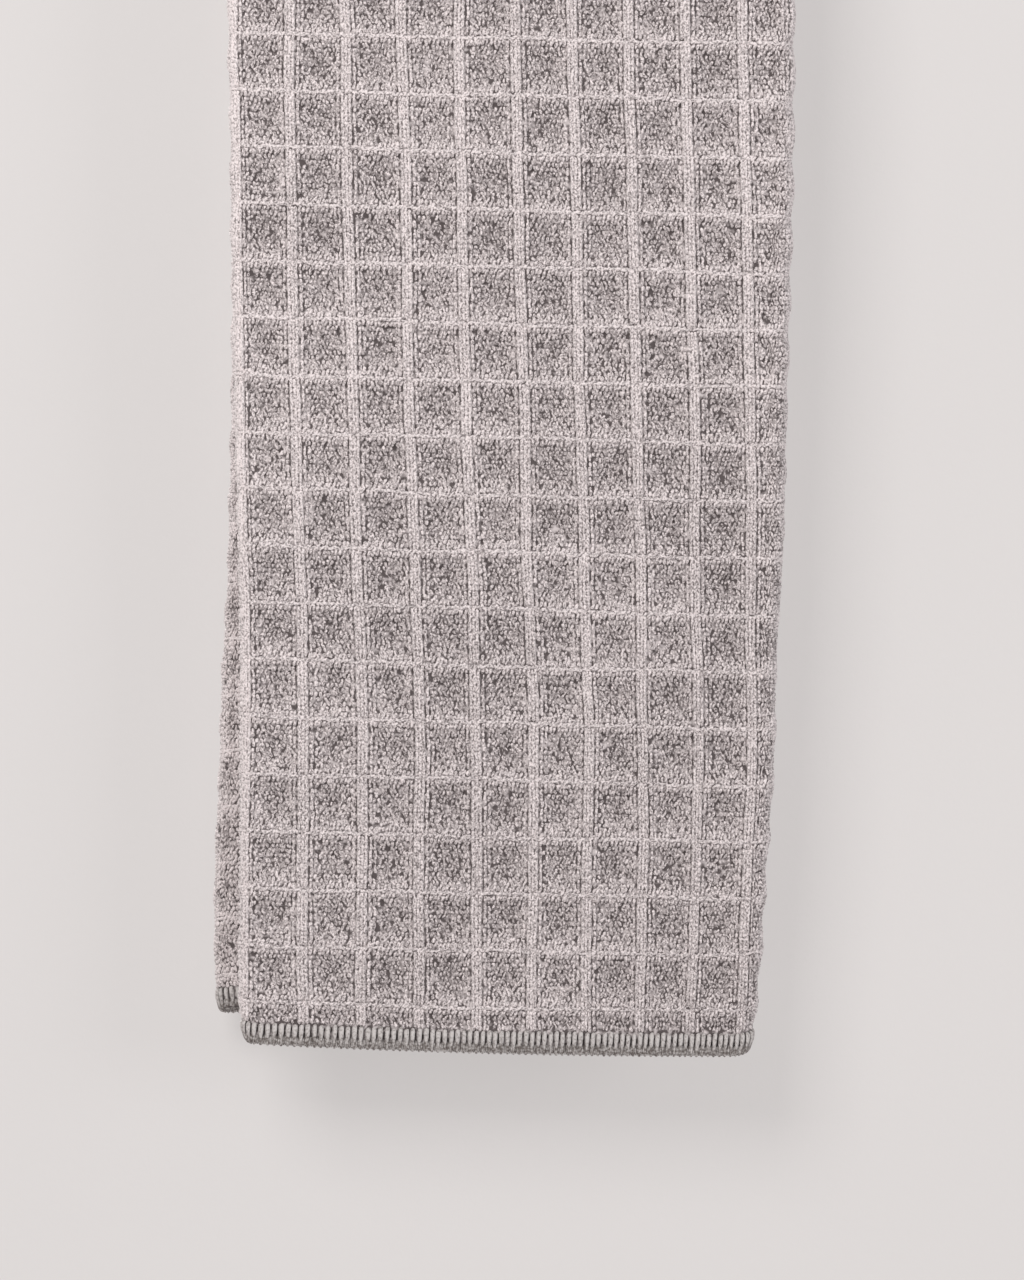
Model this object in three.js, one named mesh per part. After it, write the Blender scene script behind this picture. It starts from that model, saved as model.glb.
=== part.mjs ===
// A waffle hand towel, folded lengthwise in three and hung over a rail that is not part of it.
// Millimetres, +Z up. The front panel faces -Y and +X is to its right.
// The origin is the middle of the top bend's underside, where the rail bears.
import * as THREE from "three";

// The cloth before it is folded: hem to hem and edge to edge.
const towelLength = 635;
const towelWidth = 381;

// The waffle: square pits between raised ridges, counted from the front hem and the first ridge.
// floorShare is the flat bottom's share of a pit's width, a ridge dips where two of them cross, and
// foldShare is how much of a pit's depth is left where the long folds stretch it.
const waffle = {
  acrossPitch: 14.61,
  alongPitch: 14.65,
  firstRow: 11.3,
  pitDepth: 2.1,
  floorShare: 0.3,
  crossingDip: 0.5,
  foldShare: 0.3,
  countedRidges: 10,
};

// Both faces of the cloth, as heights off its middle. The two layers that the fold hides are plain.
const face = { ridge: 1.7, reverse: 1.5, plain: 1.2 };

// Depth of the middle of each layer behind the front ridges, and of the whole folded stack.
const layerDepth = { front: 1.7, tucked: 4.9, closing: 7.8, stack: 9.0 };

// The flat sewn edge at each end, and how much shorter the two hidden layers hang.
const hem = { height: 5.1, rise: 2.5, tuckedInset: 1.2, closingInset: 2.2 };

// The bend over the rail.
const bendRadius = 8;
const backShorterBy = 10.6;

// How the folded towel hangs, by distance along the cloth from the front hem to the back one.
// leftRim, rightRim: outer edges of the two long folds. firstRidge, tenthRidge: where those ridges run.
// slope: fall of a waffle row to the right. sag: droop of a row's middle. gap: half the space behind it.
const hangColumns = ["along", "leftRim", "rightRim", "firstRidge", "tenthRidge", "slope", "sag", "gap"];
const hangRows = [
  [0, -69.4, 61.3, -69.3, 58.5, 0.025, 1.1, 5.0],
  [7, -71.0, 62.8, -69.6, 58.7, 0.02, 0.6, 5.0],
  [23, -71.1, 64.2, -69.6, 59.4, 0.017, 0.3, 5.1],
  [52, -70.5, 66.1, -69.3, 60.6, 0.023, 0, 5.0],
  [80, -70.5, 67.8, -68.8, 61.4, 0.028, 0, 5.0],
  [109, -70.7, 68.5, -69.1, 61.0, 0.03, 0, 5.3],
  [138, -71.1, 69.8, -70.1, 61.1, 0.028, 0, 5.8],
  [167, -71.6, 70.3, -70.6, 61.1, 0.024, 0, 6.3],
  [197, -72.3, 71.1, -71.1, 60.3, 0.028, 0, 6.8],
  [226, -72.6, 72.0, -71.6, 59.8, 0.027, 0, 7.3],
  [255, -72.8, 71.9, -72.1, 58.8, 0.02, 0, 7.7],
  [297, -72.8, 71.9, -72.4, 58.5, 0.018, 0, 8.0],
  [346, -72.6, 71.9, -72.2, 58.7, 0.018, 0, 8.0],
  [453, -73.2, 71.4, -72.7, 59.0, 0.02, 0, 6.6],
  [522, -74.8, 69.4, -74.0, 57.4, 0.02, 0, 5.6],
  [568, -76.6, 67.3, -75.6, 55.6, 0.018, 0, 5.0],
  [615, -78.5, 64.8, -77.2, 53.5, 0.016, 0.2, 4.8],
  [635, -77.6, 64.0, -76.9, 53.2, 0.016, 0.4, 4.8],
];
const hang = hangRows.map((row) => Object.fromEntries(hangColumns.map((name, i) => [name, row[i]])));

// The long folds: the left one turns the tucked layer in, the right one closes over its raw edge.
// leastStep keeps two places along the section apart, as a share of the front's width.
const leftFoldRadius = (layerDepth.tucked - layerDepth.front) / 2;
const rightFoldRadius = (layerDepth.closing - layerDepth.front) / 2;
const leftFoldSteps = 4;
const rightFoldSteps = 6;
const innerFoldSteps = 2;
const leastStep = 0.004;
const tuckedWidth = 120.5;

const stackAtBend = bendRadius + layerDepth.stack;
const bendLength = Math.PI * (stackAtBend - layerDepth.front);
const frontLength = (towelLength - bendLength + backShorterBy) / 2;
const halfPanel = 66;

const { clamp, lerp, mapLinear } = THREE.MathUtils;

// The hang table's values at any distance along the cloth.
function hangAt(along) {
  const next = clamp(hang.findIndex((row) => row.along > along), 1, hang.length - 1);
  const [low, high] = along < towelLength ? [hang[next - 1], hang[next]] : hang.slice(-2);
  const row = {};
  for (const name of Object.keys(low)) {
    row[name] = mapLinear(along, low.along, high.along, low[name], high[name]);
  }
  return row;
}

// How far a place is up the side of its pit: 0 at the bottom, 1 on the ridge, each way.
function ridgeShares(across, along) {
  const a = across / waffle.acrossPitch;
  const b = (along - waffle.firstRow) / waffle.alongPitch;
  return [a, b].map((turns) => Math.abs(2 * (turns - Math.floor(turns)) - 1));
}

// Height of the outer face off the middle of the cloth. It is plain and flat along the sewn edge.
function outerHeight(across, along) {
  const shares = ridgeShares(across, along);
  const pit = waffle.pitDepth * Math.min((1 - Math.max(...shares)) / (1 - waffle.floorShare), 1);
  const crossing = waffle.crossingDip * Math.min(...shares) ** 2;
  const fromHem = Math.min(along, towelLength - along) - hem.height;
  return lerp(face.plain, face.ridge - pit - crossing, clamp(fromHem / hem.rise, 0, 1));
}

// Where the long folds turn at one place along the cloth.
function turnsAt(along) {
  const row = hangAt(along);
  return {
    leftTurn: row.leftRim + leftFoldRadius + face.ridge,
    rightTurn: row.rightRim - rightFoldRadius - face.ridge,
  };
}

// The folded section at one place along the cloth. u runs to the right across the panel, and v from the
// front ridges to the inside of the fold. Its middle line has five stretches: the closing layer from its
// raw edge, the right fold, the front, the left fold, and the tucked layer to its raw edge.
function foldAt(along) {
  const row = hangAt(along);
  const { leftTurn, rightTurn } = turnsAt(along);
  const bend = turnsAt(frontLength);
  const folds = Math.PI * (leftFoldRadius + rightFoldRadius);
  const closingAtBend = towelWidth - tuckedWidth - folds - (bend.rightTurn - bend.leftTurn);
  const closingWidth = closingAtBend + bend.rightTurn - rightTurn;
  const countedWidth = waffle.acrossPitch * (waffle.countedRidges - 1);
  return {
    leftTurn,
    rightTurn,
    closingEdge: rightTurn - closingWidth,
    tuckedEdge: leftTurn + tuckedWidth,
    acrossOf: (u) => mapLinear(u, row.firstRidge, row.tenthRidge, 0, countedWidth),
    placeOf: (across) => mapLinear(across, 0, countedWidth, row.firstRidge, row.tenthRidge),
  };
}

// A point of the folded section. way counts the stretches done, with the share of the next one. It stands
// off the middle line by the height of the outer face, or on the other side by that of the inner face.
function sectionPoint(fold, along, way, outer) {
  const stretch = Math.min(Math.floor(way), 4);
  const share = way - stretch;
  if (stretch === 0 || stretch === 4) {
    const closing = stretch === 0;
    const from = closing ? fold.closingEdge : fold.leftTurn;
    const to = closing ? fold.rightTurn : fold.tuckedEdge;
    const depth = closing ? layerDepth.closing : layerDepth.tucked;
    const inset = closing ? hem.closingInset : hem.tuckedInset;
    return { way, inset, u: lerp(from, to, share), v: depth + (outer ? face.plain : -face.plain) };
  }
  if (stretch === 2) {
    const u = lerp(fold.rightTurn, fold.leftTurn, share);
    const height = outer ? outerHeight(fold.acrossOf(u), along) : -face.reverse;
    return { way, inset: 0, u, v: layerDepth.front - height };
  }
  const right = stretch === 1;
  const side = right ? 1 : -1;
  const turned = right ? 1 - share : share;
  const angle = Math.PI * turned;
  const radius = right ? rightFoldRadius : leftFoldRadius;
  const turn = right ? fold.rightTurn : fold.leftTurn;
  const across = fold.acrossOf(turn) + side * angle * (radius + face.ridge);
  const pitShare = lerp(1, waffle.foldShare, clamp(3 * turned, 0, 1));
  const waffled = clamp(3 - 3 * turned, 0, 1);
  const height = lerp(face.ridge, outerHeight(across, along), pitShare);
  const outerReach = radius + lerp(face.plain, height, waffled);
  const innerReach = radius - lerp(face.reverse, face.plain, turned);
  const reach = outer ? outerReach : innerReach;
  return {
    way,
    inset: turned * (right ? hem.closingInset : hem.tuckedInset),
    u: turn + side * reach * Math.sin(angle),
    v: layerDepth.front + radius - reach * Math.cos(angle),
  };
}

// How far along the section's middle line a place across the front lies.
function frontWay(fold, across) {
  return mapLinear(fold.placeOf(across), fold.rightTurn, fold.leftTurn, 2, 3);
}

// The section as a closed loop: its outer face from the closing layer's raw edge to the tucked one's,
// then its inner face back again. The front has a point in its last part pit and one on each ridge,
// which keep apart where the right fold comes close to the last ridge.
function sectionLoop(along) {
  const fold = foldAt(along);
  const lastRidge = waffle.acrossPitch * (waffle.countedRidges - 1);
  const partPit = frontWay(fold, (fold.acrossOf(fold.rightTurn) + lastRidge) / 2);
  const frontWays = [Math.max(partPit, 2 + leastStep)];
  for (let ridge = waffle.countedRidges; ridge > 1; ridge--) {
    const ridgeWay = frontWay(fold, waffle.acrossPitch * (ridge - 1));
    frontWays.push(Math.max(ridgeWay, 2 + 2 * leastStep));
  }
  const outerWays = [0, ...steps(1, rightFoldSteps), ...frontWays, ...steps(3, leftFoldSteps), 5];
  const innerWays = [5, 4, 3, ...steps(1, innerFoldSteps).reverse(), 0];
  return [
    ...outerWays.map((way) => sectionPoint(fold, along, way, true)),
    ...innerWays.map((way) => sectionPoint(fold, along, way, false)),
  ];
}

// Even places over one stretch of the section, both its ends among them.
function steps(stretch, count) {
  return Array.from({ length: count + 1 }, (_, step) => stretch + step / count);
}

// The front ridges' line over the rail: a place on it, and the way from there into the fold.
function hungLine(along) {
  const gap = hangAt(along).gap;
  const angle = (along - frontLength) / (stackAtBend - layerDepth.front);
  if (angle < 0) {
    return { y: -gap - layerDepth.stack, z: along - frontLength - bendRadius, inY: 1, inZ: 0 };
  }
  if (angle > Math.PI) {
    const drop = along - frontLength - bendLength;
    return { y: gap + layerDepth.stack, z: -bendRadius - drop, inY: -1, inZ: 0 };
  }
  return {
    y: -stackAtBend * Math.cos(angle),
    z: stackAtBend * Math.sin(angle) - bendRadius,
    inY: Math.cos(angle),
    inZ: -Math.sin(angle),
  };
}

// Sets a section's point in the hung towel.
function hungPoint(point, along) {
  const row = hangAt(along);
  const kept = clamp(along, point.inset, towelLength - point.inset);
  const drooped = kept - row.slope * point.u + row.sag * (point.u / halfPanel) ** 2;
  const line = hungLine(drooped);
  return [point.u, line.y + point.v * line.inY, line.z + point.v * line.inZ];
}

// Places along the cloth that get a section: the ends, the inner side of each hem, every ridge, and the
// middle of every pit.
function sectionPlaces() {
  const backHem = towelLength - hem.height;
  const places = [0, hem.height, hem.height + hem.rise, waffle.firstRow];
  for (let ridge = waffle.firstRow + waffle.alongPitch; ridge < backHem; ridge += waffle.alongPitch) {
    places.push(ridge - waffle.alongPitch / 2, ridge);
  }
  return [...places, backHem, towelLength];
}

// The four corners of a pit's floor, in turn: low and right, high and right, high and left, low and left.
function floorCorners(ridge, low, high) {
  const half = waffle.floorShare / 2;
  const corners = [];
  for (const [left, up] of [[-1, -1], [-1, 1], [1, 1], [1, -1]]) {
    const along = lerp(low, high, 0.5 + up * half);
    const across = waffle.acrossPitch * (ridge - 1.5 - left * half);
    const fold = foldAt(along);
    corners.push(hungPoint(sectionPoint(fold, along, frontWay(fold, across), true), along));
  }
  return corners;
}

function towelGeometry() {
  const places = sectionPlaces();
  const loops = places.map(sectionLoop);
  const perLoop = loops[0].length;
  const lastRow = places.length - 1;
  const lastRidge = lastRow - 2;
  const positions = loops.flatMap((loop, row) => loop.map((point) => hungPoint(point, places[row])));
  const faces = [];

  // The columns of whole pits lie between the tenth ridge and the left fold.
  const firstPits = rightFoldSteps + 3;
  const lastPits = firstPits + waffle.countedRidges - 2;

  // The skin between neighbouring sections, apart from the pits.
  for (let row = 0; row < lastRow; row++) {
    for (let i = 0; i < perLoop; i++) {
      if (row > 0 && row < lastRidge && i >= firstPits && i <= lastPits) continue;
      const j = (i + 1) % perLoop;
      const [a, b] = [row * perLoop + i, row * perLoop + j];
      const [c, d] = [b + perLoop, a + perLoop];
      if ((i + row) % 2) faces.push(a, c, b, a, d, c);
      else faces.push(a, d, b, b, d, c);
    }
  }

  // The pits: two sections high, with a flat floor and four sloping sides.
  for (let row = 1; row < lastRidge; row += 2) {
    for (let i = firstPits; i <= lastPits; i++) {
      const ridge = waffle.countedRidges - (i - firstPits);
      const rightSide = [0, 1, 2].map((up) => (row + up) * perLoop + i);
      const [low, middle, high] = rightSide;
      const [farLow, farMiddle, farHigh] = rightSide.map((corner) => corner + 1);
      const [p, q, r, t] = [0, 1, 2, 3].map((corner) => positions.length + corner);
      positions.push(...floorCorners(ridge, places[row], places[row + 2]));
      faces.push(low, middle, p, middle, q, p, middle, high, q);
      faces.push(high, farHigh, q, farHigh, r, q);
      faces.push(farHigh, farMiddle, r, farMiddle, t, r, farMiddle, farLow, t);
      faces.push(farLow, low, t, low, p, t);
      faces.push(p, q, r, p, r, t);
    }
  }

  // The two sewn ends, each a strip between the outer and the inner face.
  for (const row of [0, lastRow]) {
    const loop = loops[row];
    let outer = 0;
    let inner = perLoop - 1;
    while (inner - outer > 1) {
      const outerNext = loop[outer + 1].way <= loop[inner - 1].way;
      const corner = outerNext ? outer + 1 : inner - 1;
      const strip = row ? [outer, inner, corner] : [outer, corner, inner];
      faces.push(...strip.map((i) => row * perLoop + i));
      if (outerNext) outer++;
      else inner--;
    }
  }

  const geometry = new THREE.BufferGeometry();
  geometry.setAttribute("position", new THREE.Float32BufferAttribute(positions.flat(), 3));
  geometry.setIndex(faces);
  geometry.computeVertexNormals();
  return geometry;
}

const terryCloth = new THREE.MeshStandardMaterial({ color: 0xaaa1a0, roughness: 1, metalness: 0 });

const towel = new THREE.Mesh(towelGeometry(), terryCloth);
towel.name = "towel";

const handTowel = new THREE.Group();
handTowel.add(towel);

export default handTowel;
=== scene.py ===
# A waffle hand towel, folded lengthwise in three and hung over a rail that isn't part of it.
# The cloth, its terry pile and its overlock sewing are worked out flat, as places across and along
# the cloth with a height off its middle. hangPoint then sets them in the folded, hung towel.
import math

import bpy
import numpy as np
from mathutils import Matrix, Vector


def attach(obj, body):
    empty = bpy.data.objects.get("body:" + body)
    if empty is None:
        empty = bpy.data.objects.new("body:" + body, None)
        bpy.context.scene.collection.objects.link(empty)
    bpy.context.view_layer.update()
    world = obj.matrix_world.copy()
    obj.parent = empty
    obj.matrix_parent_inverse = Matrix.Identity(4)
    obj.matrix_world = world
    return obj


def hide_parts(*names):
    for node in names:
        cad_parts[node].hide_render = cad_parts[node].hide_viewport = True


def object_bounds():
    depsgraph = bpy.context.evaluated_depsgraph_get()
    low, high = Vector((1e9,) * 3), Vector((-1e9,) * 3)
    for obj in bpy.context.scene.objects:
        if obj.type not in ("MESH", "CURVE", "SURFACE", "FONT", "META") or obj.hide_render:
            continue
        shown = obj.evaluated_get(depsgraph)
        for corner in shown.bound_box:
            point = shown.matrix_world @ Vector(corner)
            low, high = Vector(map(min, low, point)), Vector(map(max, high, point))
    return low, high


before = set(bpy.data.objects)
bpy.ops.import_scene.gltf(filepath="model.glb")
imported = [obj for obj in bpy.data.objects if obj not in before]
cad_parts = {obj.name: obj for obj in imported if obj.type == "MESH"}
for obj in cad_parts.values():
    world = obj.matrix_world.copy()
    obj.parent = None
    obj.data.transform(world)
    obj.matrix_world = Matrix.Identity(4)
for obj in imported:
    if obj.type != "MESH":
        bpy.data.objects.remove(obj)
cadLow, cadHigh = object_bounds()
mm = 0.001

# The cut cloth and its waffle in millimetres, counted from the front hem and the first ridge
weave = {
    "length": 635,
    "width": 381,
    "acrossPitch": 14.61,
    "alongPitch": 14.65,
    "firstRow": 11.3,
    "countedRidges": 10,
    "ridge": 1.7,  # heights off the middle of the cloth
    "reverse": 1.5,
    "plain": 1.2,
    "pitDepth": 2.5,
    "pitSpread": 0.1,  # pits differ by this share in depth
    "pitSeed": 11,
    "pitCurve": 1.4,  # above 1 the sides are steepest at the ridges, and the pit is a bowl
    "ridgeRound": 0.11,  # share of the way to a pit's middle that a ridge's round top takes
    "floorShare": 0.06,
    "crossingDip": 0.6,  # ridges sink this much where they cross
    "crossingPower": 5,  # a higher one keeps the dip closer to the crossing
    "foldShare": 0.35,  # of the relief that the long folds leave
    "hiddenShare": 0.3,  # of the relief on the layers inside the fold
    "hemHeight": 5.1,
    "hemRise": 2.5,
    "wobble": 0.35,  # how far the ridges wander off their straight lines
    "uprightWaves": (34, 3),  # length and seed of the waves in which they do
    "levelWaves": (38, 5),
    "crumple": 0.3,  # how far the panel's face rises and falls
    "crumpleWaves": (47, 8),
    "rimBulge": 0.7,  # how far the pits push the long folds outwards
    "rimBulgeFrom": 200,  # in full from this place along the cloth
}

# The loops stand between these places across the cloth, and the rest of the face is bare
pileSpan = {
    "from": -12.5,
    "fromAtBack": -30,  # the back half shows more of the tucked layer
    "to": 157.0,
    "fade": 2.0,
}

# The lengthwise fold and the hang over the rail
fold = {
    "frontDepth": 1.7,
    "tuckedDepth": 4.9,
    "closingDepth": 7.8,
    "stack": 9.0,
    "tuckedWidth": 120.5,
    "tuckedInset": 1.2,
    "closingInset": 2.2,
    "bendRadius": 8,
    "backShorterBy": 10.6,
    "halfPanel": 66,
    "drift": 3.2,  # by the front hem the ridges between the two rims lie this much further right
    "driftTo": 175,  # and above this place along the cloth they are evenly apart
    "smoothing": 6,  # how far the corners between the rows below are rounded
}
hangColumns = ["along", "leftRim", "rightRim", "firstRidge", "tenthRidge", "slope", "sag", "gap"]
hangRows = [
    [0, -69.4, 61.3, -69.3, 58.5, 0.025, 1.1, 5.0],
    [7, -71.0, 62.8, -69.6, 58.7, 0.02, 0.6, 5.0],
    [23, -71.1, 64.2, -69.6, 59.4, 0.017, 0.3, 5.1],
    [52, -70.5, 66.1, -69.3, 60.6, 0.023, 0, 5.0],
    [80, -70.5, 67.8, -68.8, 61.4, 0.028, 0, 5.0],
    [109, -70.7, 68.5, -69.1, 61.0, 0.03, 0, 5.3],
    [138, -71.1, 69.8, -70.1, 61.1, 0.028, 0, 5.8],
    [167, -71.6, 70.3, -70.6, 61.1, 0.024, 0, 6.3],
    [197, -72.3, 71.1, -71.1, 60.3, 0.028, 0, 6.8],
    [226, -72.6, 72.0, -71.6, 59.8, 0.027, 0, 7.3],
    [255, -72.8, 71.9, -72.1, 58.8, 0.02, 0, 7.7],
    [297, -72.8, 71.9, -72.4, 58.5, 0.018, 0, 8.0],
    [346, -72.6, 71.9, -72.2, 58.7, 0.018, 0, 8.0],
    [453, -73.2, 71.4, -72.7, 59.0, 0.02, 0, 6.6],
    [522, -74.8, 69.4, -74.0, 57.4, 0.02, 0, 5.6],
    [568, -76.6, 67.3, -75.6, 55.6, 0.018, 0, 5.0],
    [615, -78.5, 64.8, -77.2, 53.5, 0.016, 0.2, 4.8],
    [635, -77.6, 64.0, -76.9, 53.2, 0.016, 0.4, 4.8],
]

leftRadius = (fold["tuckedDepth"] - fold["frontDepth"]) / 2
rightRadius = (fold["closingDepth"] - fold["frontDepth"]) / 2
leftReach = leftRadius + weave["ridge"]
rightReach = rightRadius + weave["ridge"]
stackAtBend = fold["bendRadius"] + fold["stack"]
bendLine = stackAtBend - fold["frontDepth"]
bendLength = math.pi * bendLine
frontLength = (weave["length"] - bendLength + fold["backShorterBy"]) / 2
countedWidth = weave["acrossPitch"] * (weave["countedRidges"] - 1)


# A curve through one column of the table, at each millimetre along the cloth
def roundedCurve(places, values):
    spread = fold["smoothing"]
    fine = np.interp(np.arange(weave["length"] + 1), places, values)
    reach = np.arange(-3 * spread, 3 * spread + 1)
    weights = np.exp(-0.5 * (reach / spread) ** 2)
    return np.convolve(np.pad(fine, 3 * spread, mode="edge"), weights / weights.sum(), mode="valid")


hangCurves = {
    name: roundedCurve([row[0] for row in hangRows], [row[i] for row in hangRows])
    for i, name in enumerate(hangColumns)
}


def hangAt(name, along):
    return np.interp(along, np.arange(weave["length"] + 1), hangCurves[name])


# Soft irregular waves, from -1 to 1, of about the given length
def waves(x, y, length, seed, count=7):
    rng = np.random.default_rng(seed)
    total = 0
    for turn, phase, stretch in rng.random((count, 3)):
        angle = 2 * math.pi * turn
        pitch = 2 * math.pi / (length * (0.7 + 0.7 * stretch))
        total = total + np.sin((x * math.cos(angle) + y * math.sin(angle)) * pitch + 7 * phase)
    return total / count * 1.6


# A smooth way from 0 to 1
def ease(share):
    share = np.clip(share, 0, 1)
    return share * share * (3 - 2 * share)


# Where the two long folds start and end across the cloth, at one place along it
def foldsAt(along):
    firstRidge = hangAt("firstRidge", along)
    perMm = (hangAt("tenthRidge", along) - firstRidge) / countedWidth
    leftTurn = hangAt("leftRim", along) + leftReach
    rightTurn = hangAt("rightRim", along) - rightReach
    return {
        "firstRidge": firstRidge,
        "perMm": perMm,
        "leftTurn": leftTurn,
        "rightTurn": rightTurn,
        "leftStart": (leftTurn - firstRidge) / perMm,
        "rightStart": (rightTurn - firstRidge) / perMm,
    }


bendFolds = foldsAt(frontLength)
foldedAway = fold["tuckedWidth"] + math.pi * (leftRadius + rightRadius)
closingAtBend = weave["width"] - foldedAway - (bendFolds["rightTurn"] - bendFolds["leftTurn"])


# The raw edges of the tucked and the closing layer, as places across the cloth
def edgesAt(along):
    at = foldsAt(along)
    closing = closingAtBend + bendFolds["rightTurn"] - at["rightTurn"]
    tuckedEdge = at["leftStart"] - math.pi * leftReach - fold["tuckedWidth"]
    return tuckedEdge, at["rightStart"] + math.pi * rightReach + closing


# The way of the stack's outside over the rail, and the direction from it into the fold
def hungLine(along):
    gap = hangAt("gap", along)
    angle = np.clip((along - frontLength) / bendLine, 0, math.pi)
    before = np.minimum(along - frontLength, 0)
    after = np.maximum(along - frontLength - bendLength, 0)
    onFront = along < frontLength
    onBack = along > frontLength + bendLength
    depth = gap + fold["stack"]
    y = np.where(onFront, -depth, np.where(onBack, depth, -stackAtBend * np.cos(angle)))
    z = stackAtBend * np.sin(angle) - fold["bendRadius"] + before - after
    return y, z, np.cos(angle), -np.sin(angle)


# Sets places on the flat cloth in the hung towel. height is off the middle, above 0 on the face
def hangPoint(across, along, height):
    at = foldsAt(along)
    pastRight = across - at["rightStart"]
    pastLeft = at["leftStart"] - across
    rightAngle = np.clip(pastRight / rightReach, 0, math.pi)
    leftAngle = np.clip(pastLeft / leftReach, 0, math.pi)
    onRight = pastRight > 0
    onLeft = pastLeft > 0
    between = np.clip((across - at["leftStart"]) / (at["rightStart"] - at["leftStart"]), 0, 1)
    drift = fold["drift"] * np.clip(1 - along / fold["driftTo"], 0, 1) * 4 * between * (1 - between)
    u = at["firstRidge"] + across * at["perMm"] + drift
    rightU = at["rightTurn"] + (rightRadius + height) * np.sin(rightAngle)
    rightU = rightU - np.maximum(pastRight - math.pi * rightReach, 0)
    leftU = at["leftTurn"] - (leftRadius + height) * np.sin(leftAngle)
    leftU = leftU + np.maximum(pastLeft - math.pi * leftReach, 0)
    u = np.where(onRight, rightU, np.where(onLeft, leftU, u))
    rightV = fold["frontDepth"] + rightRadius - (rightRadius + height) * np.cos(rightAngle)
    leftV = fold["frontDepth"] + leftRadius - (leftRadius + height) * np.cos(leftAngle)
    v = np.where(onRight, rightV, np.where(onLeft, leftV, fold["frontDepth"] - height))
    inset = rightAngle / math.pi * fold["closingInset"] + leftAngle / math.pi * fold["tuckedInset"]
    kept = along + inset * (1 - 2 * along / weave["length"])
    drooped = kept - hangAt("slope", along) * u + hangAt("sag", along) * (u / fold["halfPanel"]) ** 2
    y, z, inY, inZ = hungLine(drooped)
    return np.stack([u, y + v * inY, z + v * inZ], axis=-1)


# How far a place lies past the nearest ridges, across and along the cloth
def ridgeOffsets(across, along):
    wander = weave["wobble"] * waves(across, along, *weave["uprightWaves"])
    ridges = (across + wander) / weave["acrossPitch"]
    wander = weave["wobble"] * waves(across, along, *weave["levelWaves"])
    rows = (along - weave["firstRow"] + wander) / weave["alongPitch"]
    acrossOffset = (ridges - np.round(ridges)) * weave["acrossPitch"]
    return acrossOffset, (rows - np.round(rows)) * weave["alongPitch"]


# Shares of the way up to the nearest ridge, 1 on it, across and along the cloth
def ridgeShares(across, along):
    acrossOffset, alongOffset = ridgeOffsets(across, along)
    shareAcross = 1 - 2 * np.abs(acrossOffset) / weave["acrossPitch"]
    shareAlong = 1 - 2 * np.abs(alongOffset) / weave["alongPitch"]
    return shareAcross, shareAlong


pitRandom = np.random.default_rng(weave["pitSeed"]).random((64, 64))


# How much of the relief the long folds leave, which stretch it in the first third of their turn and
# hide it in the last, how much shows past the hems, and how far a place is hidden in the fold
def reliefShare(across, along):
    at = foldsAt(along)
    fromHem = np.minimum(along, weave["length"] - along) - weave["hemHeight"]
    pastFold = np.maximum((across - at["rightStart"]) / rightReach, (at["leftStart"] - across) / leftReach)
    folded = ease(pastFold * 3 / math.pi)
    hidden = ease(pastFold * 3 / math.pi - 2)
    share = 1 + (weave["foldShare"] - 1) * folded + (weave["hiddenShare"] - weave["foldShare"]) * hidden
    return share, ease(fromHem / weave["hemRise"]), hidden


def pileFrom(along):
    return np.where(along > frontLength, pileSpan["fromAtBack"], pileSpan["from"])


# 1 where the face has no loops
def bareShare(across, along):
    before = (pileFrom(along) - across) / pileSpan["fade"]
    after = (across - pileSpan["to"]) / pileSpan["fade"]
    return np.maximum(ease(before + 1), ease(after + 1))


# Height of the terry's tips off the middle of the cloth
def faceHeight(across, along):
    shareAcross, shareAlong = ridgeShares(across, along)
    share, pastHem, hidden = reliefShare(across, along)
    down = 1 - np.maximum(shareAcross, shareAlong)
    slope = np.clip((down - weave["ridgeRound"]) / (1 - weave["floorShare"] - weave["ridgeRound"]), 0, 1)
    bowl = 1 - (1 - slope) ** weave["pitCurve"]
    column = np.floor(across / weave["acrossPitch"]).astype(int) % len(pitRandom)
    row = np.floor((along - weave["firstRow"]) / weave["alongPitch"]).astype(int) % len(pitRandom)
    depth = weave["pitDepth"] * (1 + weave["pitSpread"] * (2 * pitRandom[column, row] - 1))
    crossing = weave["crossingDip"] * (shareAcross * shareAlong) ** weave["crossingPower"]
    relief = weave["ridge"] - share * (depth * bowl + crossing)
    relief = relief + (weave["plain"] - weave["ridge"]) * hidden
    crumple = weave["crumple"] * waves(across, along, *weave["crumpleWaves"])
    relief = relief + crumple * (1 - hidden) * pastHem
    folded = (1 - share) / (1 - weave["foldShare"]) * (1 - hidden)
    bulge = weave["rimBulge"] * np.clip(folded, 0, 1)
    relief = relief + bulge * ease(1 - shareAlong) * ease(along / weave["rimBulgeFrom"])
    return weave["plain"] + (relief - weave["plain"]) * pastHem


# A mesh object from points in millimetres and faces
def newPiece(name, points, faces, material):
    mesh = bpy.data.meshes.new(name)
    points = np.asarray(points, float).reshape(-1, 3) * mm
    faces = np.asarray(faces, np.int32)
    corners = faces.shape[1]
    mesh.vertices.add(len(points))
    mesh.vertices.foreach_set("co", points.ravel())
    mesh.loops.add(faces.size)
    mesh.loops.foreach_set("vertex_index", faces.ravel())
    mesh.polygons.add(len(faces))
    mesh.polygons.foreach_set("loop_start", np.arange(len(faces), dtype=np.int32) * corners)
    mesh.update(calc_edges=True)
    mesh.validate()
    mesh.polygons.foreach_set("use_smooth", np.full(len(mesh.polygons), True))
    mesh.materials.append(material)
    piece = bpy.data.objects.new(name, mesh)
    bpy.context.scene.collection.objects.link(piece)
    return piece


# The map that the piece's colours are laid out on, one place a vertex
def layOut(piece, places):
    layer = piece.data.uv_layers.new(name="OFBake")
    loops = np.zeros(len(piece.data.loops), np.int32)
    piece.data.loops.foreach_get("vertex_index", loops)
    layer.data.foreach_set("uv", np.asarray(places, np.float32)[loops].ravel())


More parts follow.
